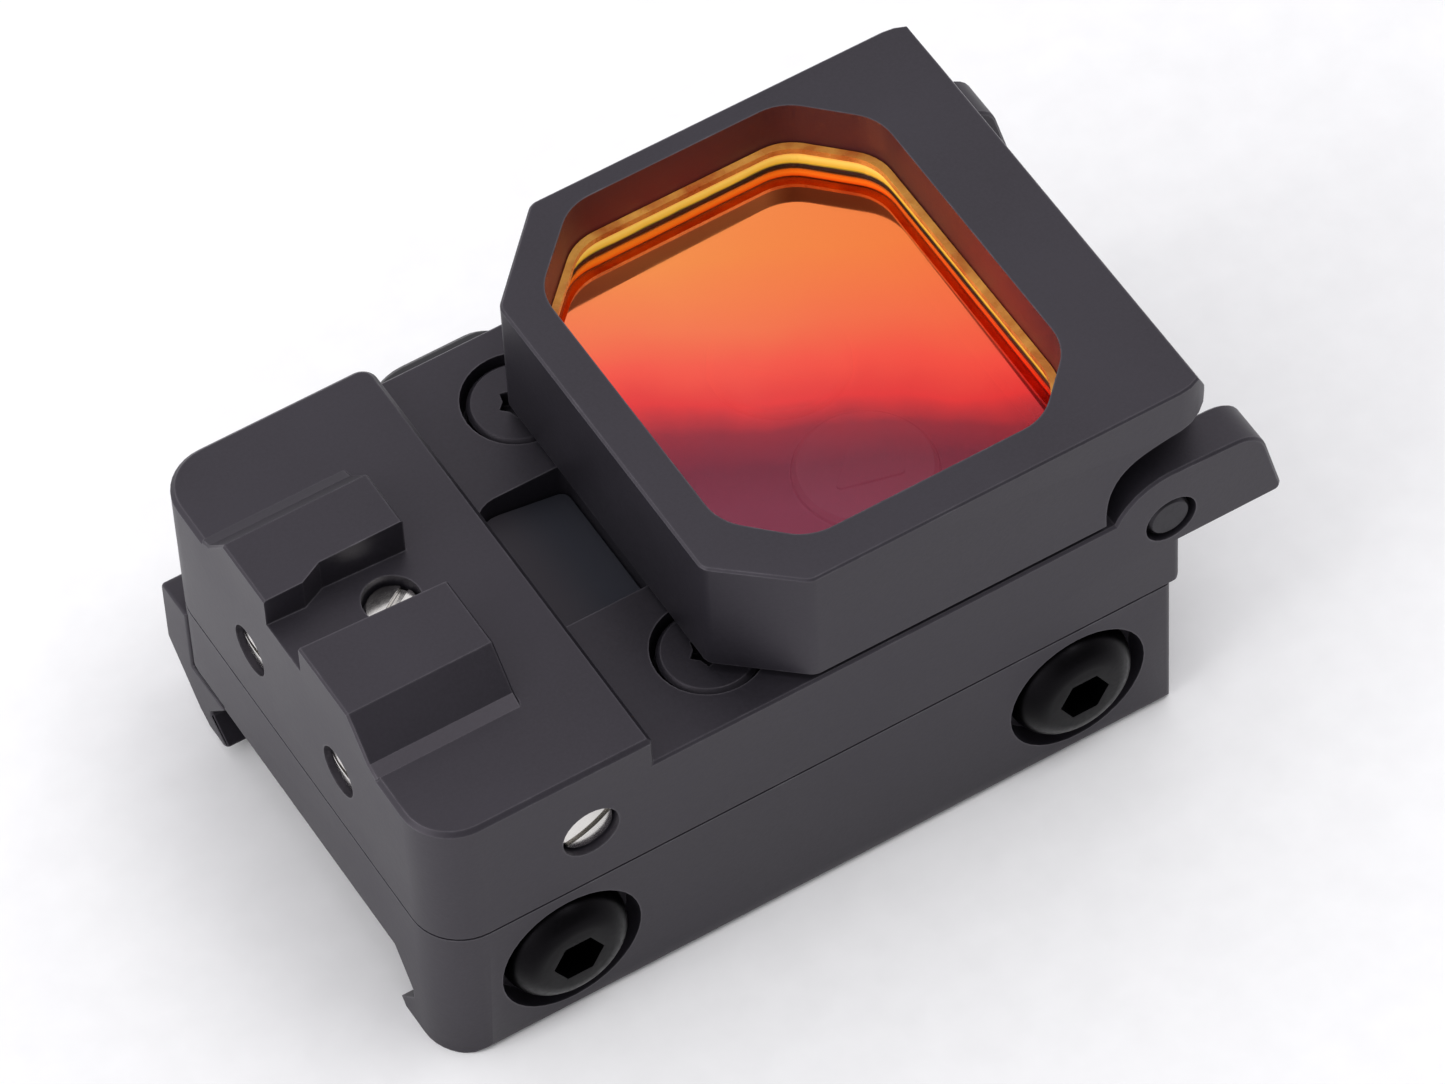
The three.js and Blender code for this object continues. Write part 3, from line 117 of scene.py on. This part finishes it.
SOLDER_MASK = ((0.02, 0.11, 0.05), (0.025, 0.13, 0.06))
SOLDER_MASK_GAP = (0.012, 0.08, 0.035)
AMBER = ((0.50, 0.12, 0.02), (0.85, 0.42, 0.08))
PAPER = ((0.90, 0.90, 0.905), (0.93, 0.93, 0.935))

# ---- Optics ----------------------------------------------------------------------------------
COAT_ACROSS = (0.477, 0.879)
# Mirror colours across the lens: amber to red is the coating's tint, the dark maroon low stops are
# painted darker reflection
COAT_TINTS_AND_PAINTED_SHADE = [
    (0.00, (0.33, 0.068, 0.120)), (0.22, (0.34, 0.068, 0.118)), (0.31, (0.30, 0.054, 0.090)),
    (0.38, (0.42, 0.052, 0.076)), (0.44, (0.95, 0.070, 0.072)), (0.52, (1.00, 0.130, 0.090)),
    (0.60, (1.00, 0.220, 0.100)), (0.76, (1.00, 0.320, 0.090)), (1.00, (1.00, 0.360, 0.110)),
]
COAT_WARM = (1.0, 0.50, 0.42)
COAT_WARM_FROM = 0.35
COAT_WARM_SHARE = 0.55
COAT_HOLLOW = 0.11
# Mirror share at the painted dark corner, then at the bright side
COAT_PAINTED_DARK = (0.30, 0.60)
COAT_BRIGHT = (0.50, 0.96)
COAT_THROUGH = (1.0, 0.55, 0.62)
COAT_BEHIND = (0.90, 0.95, 0.97)
GLASS_CLEAR = (0.985, 0.98, 0.97)
# Painted glow on the front glass's ground edge: emitted yellow bands over a dark cement line at the
# bottom
GLASS_EDGE_PAINTED_GLOW_BANDS = [
    (0.00, (0.03, 0.05, 0.02)), (0.14, (0.06, 0.08, 0.02)), (0.24, (0.75, 0.50, 0.04)),
    (0.52, (0.98, 0.78, 0.16)), (0.74, (0.95, 0.52, 0.10)), (0.88, (0.55, 0.16, 0.04)),
    (0.95, (0.85, 0.60, 0.35)),
]
GLASS_EDGE_PAINTED_GLOW = 0.40
# How far past the glass the painted red reflection reaches on the walls
PAINTED_RED_REACH = 0.6 * MM
# Pane colour from rear to front: dark filter tone, then a painted bluish reflection towards the front
PANE_TONE_AND_PAINTED_SHEEN = ((0.055, 0.050, 0.060), (0.055, 0.057, 0.072))
PANE_THROUGH = (0.20, 0.20, 0.24)
PANE_SHARE = 0.94

# ---- Floor and light: brightness as radiance, with white paper near 1 ------------------------
FLOOR_HALF = 4.0
FLOOR_GAP = 0.02 * MM
SKY_COLOUR = (0.98, 0.97, 1.0)
DIM_SIDE = Vector((0.25, -0.80, 0.55)).normalized()
DIM_FROM = (0.50, 1.02)
DIM_TO = (0.92, 0.35)
LIGHT_AIM = Vector((0.0, 0.0, 0.01))
SOFT_BOXES = {
    "rear_box": {"place": (-0.75, -0.05, 0.35), "size": (0.5, 0.6), "radiance": 2.5},
    "top_box": {"place": (0.25, -0.20, 0.90), "size": (0.50, 0.40), "radiance": 3.6},
}


# ---- Node helpers ----------------------------------------------------------------------------
def add_node(tree, kind, inputs=None, **settings):
    """A shader node with its settings made and its sockets linked or set."""
    node = tree.nodes.new("ShaderNode" + kind)
    for key, value in settings.items():
        setattr(node, key, value)
    for key, value in (inputs or {}).items():
        if isinstance(value, bpy.types.NodeSocket):
            tree.links.new(value, node.inputs[key])
        else:
            node.inputs[key].default_value = value
    return node


def shade(colour, factor):
    return tuple(channel * factor for channel in colour)


def rgba(colour):
    return (*colour, 1.0)


class Nodes:
    """A material's node tree, with short calls for the nodes used here."""

    def __init__(self, name):
        self.material = bpy.data.materials.new(name)
        self.material.use_nodes = True
        self.tree = self.material.node_tree
        self.tree.nodes.clear()
        self.out = self.add("OutputMaterial")
        coord = self.add("TexCoord")
        self.place = coord.outputs["Object"]
        self.facing = coord.outputs["Normal"]

    def add(self, kind, inputs=None, **settings):
        return add_node(self.tree, kind, inputs, **settings)

    def split(self, vector):
        """The X, Y and Z of a vector."""
        return self.add("SeparateXYZ", {0: vector}).outputs

    def math(self, operation, *values, clamp=False):
        inputs = dict(enumerate(values))
        return self.add("Math", inputs, operation=operation, use_clamp=clamp).outputs[0]

    def times(self, a, b):
        return self.math("MULTIPLY", a, b)

    def noise(self, scale, detail=2.0, rough=0.5):
        inputs = {"Vector": self.place, "Scale": scale, "Detail": detail, "Roughness": rough}
        return self.add("TexNoise", inputs).outputs["Fac"]

    def fit(self, value, low, high, to_low=0.0, to_high=1.0):
        """Value moved from the range low-high to another range, held at its ends."""
        inputs = {
            "Value": value, "From Min": low, "From Max": high, "To Min": to_low, "To Max": to_high,
        }
        return self.add("MapRange", inputs, clamp=True).outputs["Result"]

    def spread(self, noise, low=0.0, high=1.0):
        """Noise stretched over the range low-high."""
        return self.fit(noise, *NOISE_SPAN, low, high)

    def ramp(self, factor, stops):
        node = self.add("ValToRGB", {"Fac": factor})
        elements = node.color_ramp.elements
        while len(elements) < len(stops):
            elements.new(0.5)
        for element, (position, colour) in zip(elements, stops):
            element.position = position
            element.color = rgba(colour)
        return node.outputs["Color"]

    def mix(self, factor, a, b, blend="MIX"):
        inputs = {0: factor}
        for index, colour in ((6, a), (7, b)):
            inputs[index] = rgba(colour) if isinstance(colour, tuple) else colour
        return self.add("Mix", inputs, data_type="RGBA", blend_type=blend).outputs[2]

    def bump(self, height, strength, distance, normal=None):
        inputs = {"Strength": strength, "Distance": distance, "Height": height}
        if normal:
            inputs["Normal"] = normal
        return self.add("Bump", inputs).outputs[0]

    def rubbed(self):
        """How near an outer edge a point is, from the turn of a softened normal."""
        soft = self.add("Bevel", {"Radius": RUBBED_REACH}, samples=6).outputs[0]
        flat = self.add("NewGeometry").outputs["Normal"]
        turn = self.add("VectorMath", {0: soft, 1: flat}, operation="DOT_PRODUCT")
        low, high = RUBBED_TURN
        return self.fit(turn.outputs["Value"], high, low)

    def outer_top(self):
        """1 on the outer side of faces that look up in the part's own frame, 0 elsewhere."""
        outer = self.math("SUBTRACT", 1.0, self.add("NewGeometry").outputs["Backfacing"])
        return self.times(self.fit(self.split(self.facing)["Z"], 0.6, 0.9), outer)

    def surface(self, base, rough, **sockets):
        """Principled shader; a socket's name is written with underscores."""
        inputs = {"Base Color": base, "Roughness": rough}
        inputs.update({key.replace("_", " "): value for key, value in sockets.items()})
        return self.add("BsdfPrincipled", inputs).outputs[0]

    def clear(self, colour):
        return self.add("BsdfTransparent", {"Color": rgba(colour)}).outputs[0]

    def blend(self, share, first, second):
        return self.add("MixShader", {0: share, 1: first, 2: second}).outputs[0]

    def finish(self, shader):
        self.tree.links.new(shader, self.out.inputs["Surface"])
        return self.material


# ---- Fine copies -----------------------------------------------------------------------------
record = frame["record"]
body_of = {node: body for body, names in record["behaviour"]["bodies"].items() for node in names}
slot_of = {item["node"]: item["material_slot"] for item in record["subparts"]}


def skin(name, edge=0.0):
    """A finely finished copy of a faceted node: smooth round faces, and edges rounded this wide."""
    body, slot = body_of[name], slot_of[name]
    mesh = nodes[name].data.copy()
    piece = bpy.data.objects.new(name + "_skin", mesh)
    bpy.context.scene.collection.objects.link(piece)
    work = bmesh.new()
    work.from_mesh(mesh)
    bmesh.ops.remove_doubles(work, verts=work.verts, dist=WELD)
    bmesh.ops.dissolve_limit(work, angle_limit=FLAT_ANGLE, verts=work.verts, edges=work.edges)
    for face in work.faces:
        face.smooth = True
    for line in work.edges:
        line.smooth = line.is_manifold and line.calc_face_angle() < SHARP_ANGLE
    work.to_mesh(mesh)
    work.free()
    if edge:
        bevel = piece.modifiers.new("rounded_edges", "BEVEL")
        bevel.width = edge
        bevel.segments = EDGE_STEPS
        bevel.limit_method = "ANGLE"
        bevel.angle_limit = SHARP_ANGLE
        bevel.harden_normals = True
        bevel.use_clamp_overlap = True
    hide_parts(name)
    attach(piece, body)
    return piece


skins = {name: skin(name, edge) for edge, names in FINE_EDGES.items() for name in names}

# The release button's return spring gets a fine copy with a mesh of its own.
skins["button_spring"] = skin("button_spring")
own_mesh(skins["button_spring"])


# ---- Finishes --------------------------------------------------------------------------------
def blasted_anodised(name, painted_red=None):
    """Blasted black anodising: fine grain, soft cloudy tone, lighter where edges are rubbed;
    optionally a painted red reflection mixed in.
    """
    m = Nodes(name)
    cloud = m.noise(scale=90.0, detail=3.0)
    grain = m.noise(scale=5200.0, detail=3.0, rough=0.6)
    pits = m.noise(scale=1900.0)
    base = m.mix(m.fit(cloud, 0.35, 0.65), shade(ANODISED, 0.80), shade(ANODISED, 1.25))
    base = m.mix(m.fit(grain, 0.3, 0.75, to_high=0.35), base, shade(ANODISED, 2.0))
    patchy = m.fit(m.noise(scale=700.0, detail=4.0, rough=0.6), 0.50, 0.70)
    patchy = m.math("MULTIPLY_ADD", patchy, 0.5, 0.5)
    wear = m.math("MULTIPLY", m.rubbed(), patchy, clamp=True)
    base = m.mix(m.times(wear, RUBBED_SHARE), base, RUBBED_METAL)
    # Painted red reflection of the coating on the frame's opening walls
    if painted_red:
        base = m.mix(painted_red(m), base, PAINTED_RED_REFLECTION)
    normal = m.bump(grain, strength=0.25, distance=0.02 * MM)
    normal = m.bump(pits, strength=0.18, distance=0.03 * MM, normal=normal)
    return m.finish(m.surface(
        base, m.spread(cloud, 0.42, 0.50), Specular_IOR_Level=0.46,
        Specular_Tint=rgba(ANODISED_TINT), Normal=normal,
    ))


def turned_steel(name, colour, rough, streak=0.12):
    """Turned and plated metal: fine tool rings, soft cloudy tone and small scratches."""
    m = Nodes(name)
    rings = m.noise(scale=3800.0)
    scratch = m.noise(scale=900.0, detail=6.0, rough=0.75)
    base = m.mix(m.spread(m.noise(scale=300.0, detail=3.0)), shade(colour, 0.82), colour)
    base = m.mix(m.fit(scratch, 0.55, 0.72, to_high=0.16), base, shade(colour, 0.6))
    return m.finish(m.surface(
        base, m.spread(rings, rough - streak / 2, rough + streak / 2), Metallic=1.0,
        Normal=m.bump(rings, strength=0.05, distance=0.01 * MM),
    ))


def moulded(name, colour, rough=0.5, streak=0.10):
    """Moulded plastic or rubber with a fine spark-eroded grain."""
    m = Nodes(name)
    grain = m.noise(scale=3600.0)
    base = m.mix(m.spread(m.noise(scale=160.0)), shade(colour, 0.85), shade(colour, 1.15))
    return m.finish(m.surface(
        base, m.spread(grain, rough - streak / 2, rough + streak / 2), Specular_IOR_Level=0.4,
        Normal=m.bump(grain, strength=0.22, distance=0.02 * MM),
    ))


def board(name):
    """Solder-masked circuit board with its glass weave showing faintly."""
    m = Nodes(name)
    weave = m.add("TexBrick", {
        "Vector": m.place, "Scale": 900.0, "Color1": rgba(SOLDER_MASK[0]),
        "Color2": rgba(SOLDER_MASK[1]), "Mortar": rgba(SOLDER_MASK_GAP),
    })
    grain = m.noise(scale=2500.0)
    return m.finish(m.surface(
        weave.outputs["Color"], m.spread(grain, 0.3, 0.42),
        Normal=m.bump(grain, strength=0.1, distance=0.02 * MM),
    ))


def cement(name):
    """Amber optical cement squeezed out round the glass."""
    m = Nodes(name)
    base = m.mix(m.spread(m.noise(scale=600.0, detail=3.0)), *AMBER)
    rough = m.spread(m.noise(scale=1500.0), 0.2, 0.35)
    return m.finish(m.surface(base, rough, Specular_IOR_Level=0.5))


def dish_normal(m, at, low, high):
    """Normal of a shallow dish, since the coated face is a hollow mirror."""
    dish = m.add("CombineXYZ", {
        "X": m.fit(at["X"], low.x, high.x, COAT_HOLLOW, -COAT_HOLLOW),
        "Y": m.fit(at["Y"], low.y, high.y, COAT_HOLLOW, -COAT_HOLLOW),
        "Z": 1.0,
    })
    return m.add("VectorTransform", {"Vector": dish.outputs[0]}, vector_type="NORMAL",
                 convert_from="OBJECT", convert_to="WORLD").outputs[0]


def coated_glass(name):
    """Dichroic coating on the cemented face: mirrors amber to red, with a painted darker reflection
    in dark red towards one corner.
    """
    m = Nodes(name)
    at = m.split(m.place)
    low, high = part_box("rear_lens")
    start = COAT_ACROSS[0] * low.x + COAT_ACROSS[1] * low.y
    end = COAT_ACROSS[0] * high.x + COAT_ACROSS[1] * high.y
    along = m.math("MULTIPLY_ADD", at["Y"], COAT_ACROSS[1], m.times(at["X"], COAT_ACROSS[0]))
    cloud = m.spread(m.noise(scale=110.0, detail=3.0), -0.022, 0.022)
    sweep = m.math("ADD", m.fit(along, start, end), cloud)
    warm = m.fit(at["X"], low.x + COAT_WARM_FROM * (high.x - low.x), high.x)
    warm = m.times(warm, COAT_WARM_SHARE)
    # The ramp's low stops paint a darker reflection towards one corner
    tint_and_painted_shade = m.mix(warm, m.ramp(sweep, COAT_TINTS_AND_PAINTED_SHADE), COAT_WARM, blend="MULTIPLY")
    mirror = m.add("BsdfGlossy", {
        "Color": tint_and_painted_shade,
        "Roughness": m.fit(m.noise(scale=420.0, detail=4.0), 0.35, 0.7, 0.02, 0.06),
        "Normal": dish_normal(m, at, low, high),
    }).outputs[0]
    # Less mirror at the painted dark corner
    share = m.fit(sweep, COAT_PAINTED_DARK[0], COAT_BRIGHT[0], COAT_PAINTED_DARK[1], COAT_BRIGHT[1])
    coat = m.blend(share, m.clear(COAT_THROUGH), mirror)
    return m.finish(m.blend(m.outer_top(), m.clear(COAT_BEHIND), coat))


def cover_glass(name):
    """Front glass: clear faces, and a ground edge with a painted yellow glow (emission) down to a
    dark cement line.
    """
    m = Nodes(name)
    side = m.fit(m.math("ABSOLUTE", m.split(m.facing)["Z"]), 0.75, 0.35)
    low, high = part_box("front_lens")
    depth = m.fit(m.split(m.place)["Z"], low.z, high.z)
    uneven = m.spread(m.noise(scale=260.0, detail=3.0), -0.05, 0.05)
    painted_glow_bands = m.ramp(m.math("ADD", depth, uneven), GLASS_EDGE_PAINTED_GLOW_BANDS)
    # The edge glows by emission: painted light
    ground = m.surface(painted_glow_bands, m.spread(m.noise(scale=1500.0), 0.35, 0.5),
                       Emission_Color=painted_glow_bands, Emission_Strength=GLASS_EDGE_PAINTED_GLOW)
    return m.finish(m.blend(side, m.clear(GLASS_CLEAR), ground))


def window_pane(name):
    """Dark filter pane over the emitter, with a painted bluish reflection towards its front."""
    m = Nodes(name)
    low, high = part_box("emitter_window")
    ahead = m.fit(m.split(m.place)["X"], low.x, high.x)
    # Painted bluish reflection grows towards the pane's front
    base = m.mix(m.fit(ahead, 0.3, 0.7), *PANE_TONE_AND_PAINTED_SHEEN)
    rough = m.spread(m.noise(scale=2200.0), 0.36, 0.40)
    body = m.surface(base, rough, Specular_IOR_Level=0.42)
    return m.finish(m.blend(PANE_SHARE, m.clear(PANE_THROUGH), body))


def painted_red_on_walls(m):
    """Mask of painted red reflection: how strongly the opening's walls above the glass are painted
    with the coating's red.
    """
    at = m.split(m.place)
    facing = m.split(m.facing)
    low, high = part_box("front_lens")
    inside = m.fit(m.math("ABSOLUTE", facing["Z"]), 0.4, 0.2)
    outwards = 0.0
    for axis, near, far in (("X", low.x, high.x), ("Y", low.y, high.y)):
        inside = m.times(inside, m.math("GREATER_THAN", at[axis], near - PAINTED_RED_REACH))
        inside = m.times(inside, m.math("LESS_THAN", at[axis], far + PAINTED_RED_REACH))
        from_middle = m.math("SUBTRACT", at[axis], (near + far) / 2)
        outwards = m.math("MULTIPLY_ADD", facing[axis], from_middle, outwards)
    inside = m.times(inside, m.math("LESS_THAN", outwards, 0.0))
    fade = m.fit(at["Z"], high.z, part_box("lens_frame")[1].z, 0.95, 0.55)
    patch = m.fit(m.noise(scale=55.0, detail=1.0), 0.35, 0.6, 0.35, 1.0)
    return m.times(inside, m.times(fade, patch))


def put(material, *names):
    for name in names:
        for slot in skins.get(name, nodes[name]).material_slots:
            slot.material = material


put(blasted_anodised("anodised_body"), "rail_mount", "upper_housing", "clamp_jaw",
    "emitter_carriage", "body_screw_right", "body_screw_left")
# The frame gets the painted red reflection on its opening walls
put(blasted_anodised("anodised_frame_painted_red", painted_red=painted_red_on_walls), "lens_frame")
put(turned_steel("bright_screw_steel", BRIGHT_STEEL, rough=0.20, streak=0.06), "elevation_screw",
    "windage_screw", "lock_screw_right", "lock_screw_left", "switch_magnet")
put(turned_steel("black_oxide", BLACK_OXIDE, rough=0.36), "cross_bolt_rear", "cross_bolt_front")
put(turned_steel("oiled_steel", OILED_STEEL, rough=0.36), "hinge_pin", "latch_arm")
put(turned_steel("spring_wire", SPRING_STEEL, rough=0.32), "hinge_spring_right",
    "hinge_spring_left", "button_spring", "elevation_clip", "windage_clip")
put(turned_steel("cell_can", NICKEL, rough=0.30), "coin_cell", "key_switch_up", "key_switch_down")
put(turned_steel("brass_parts", BRASS, rough=0.30), "cell_contact", "windage_nut")
put(moulded("black_plastic", BLACK_PLASTIC), "release_button", "lid_sensor", "control_chip",
    "led_holder")
put(moulded("grey_key_rubber", KEY_RUBBER, rough=0.60), "brightness_up_key", "brightness_down_key")
put(moulded("black_rubber", SEAL_RUBBER, rough=0.75), "housing_seal")
put(cement("amber_cement"), "lens_bead")
put(moulded("white_nylon", NYLON, rough=0.55), "lock_tip_right", "lock_tip_left", "led_emitter")
put(board("green_board"), "circuit_board")
put(coated_glass("coated_glass"), "rear_lens")
put(cover_glass("cover_glass"), "front_lens")
put(window_pane("window_pane"), "emitter_window")


# ---- Floor, light and camera -----------------------------------------------------------------
def make_floor():
    mesh = bpy.data.meshes.new("floor")
    level = cad_box[0][2] - FLOOR_GAP
    corners = [(x * FLOOR_HALF, y * FLOOR_HALF, level)
               for x, y in ((-1, -1), (1, -1), (1, 1), (-1, 1))]
    mesh.from_pydata(corners, [], [(0, 1, 2, 3)])
    floor = bpy.data.objects.new("floor", mesh)
    bpy.context.scene.collection.objects.link(floor)
    m = Nodes("floor_paper")
    base = m.mix(m.spread(m.noise(scale=400.0, detail=3.0)), *PAPER)
    mesh.materials.append(m.finish(m.surface(base, 0.85, Specular_IOR_Level=0.1)))


def make_sky():
    """Even white surroundings, dimmer to one side."""
    world = bpy.data.worlds.new("studio")
    world.use_nodes = True
    tree = world.node_tree
    ray = add_node(tree, "TexCoord").outputs["Generated"]
    towards = add_node(tree, "VectorMath", {0: ray, 1: DIM_SIDE}, operation="DOT_PRODUCT")
    strength = add_node(tree, "MapRange", {
        "Value": towards.outputs["Value"], "From Min": DIM_FROM[0], "From Max": DIM_TO[0],
        "To Min": DIM_FROM[1], "To Max": DIM_TO[1],
    })
    background = tree.nodes["Background"]
    background.inputs["Color"].default_value = rgba(SKY_COLOUR)
    tree.links.new(strength.outputs["Result"], background.inputs["Strength"])
    bpy.context.scene.world = world
    bpy.context.scene.view_settings.view_transform = "Standard"


def make_soft_box(name, place, size, radiance):
    """An area light whose face has the given brightness."""
    data = bpy.data.lights.new(name, "AREA")
    data.shape = "RECTANGLE"
    data.size, data.size_y = size
    data.energy = radiance * math.pi * size[0] * size[1]
    light = bpy.data.objects.new(name, data)
    light.location = place
    light.rotation_mode = "QUATERNION"
    light.rotation_quaternion = (Vector(place) - LIGHT_AIM).to_track_quat("Z", "Y")
    bpy.context.scene.collection.objects.link(light)


def make_camera():
    azimuth = math.radians(CAMERA_AZIMUTH)
    elevation = math.radians(CAMERA_ELEVATION)
    roll = math.radians(CAMERA_ROLL)
    back = Vector((
        math.sin(azimuth) * math.cos(elevation),
        -math.cos(azimuth) * math.cos(elevation),
        math.sin(elevation),
    ))
    level = Vector((0, 0, 1)).cross(back).normalized()
    upward = back.cross(level)
    right = level * math.cos(roll) - upward * math.sin(roll)
    axes = Matrix((right, back.cross(right), back)).transposed()
    data = bpy.data.cameras.new("camera")
    data.lens = CAMERA_LENS
    data.sensor_width = SENSOR_WIDTH
    data.clip_start, data.clip_end = CAMERA_CLIP
    camera = bpy.data.objects.new("camera", data)
    camera.matrix_world = Matrix.Translation(CAMERA_PLACE) @ axes.to_4x4()
    bpy.context.scene.collection.objects.link(camera)
    bpy.context.scene.camera = camera


make_floor()
make_sky()
for box_name, box in SOFT_BOXES.items():
    make_soft_box(box_name, **box)
make_camera()
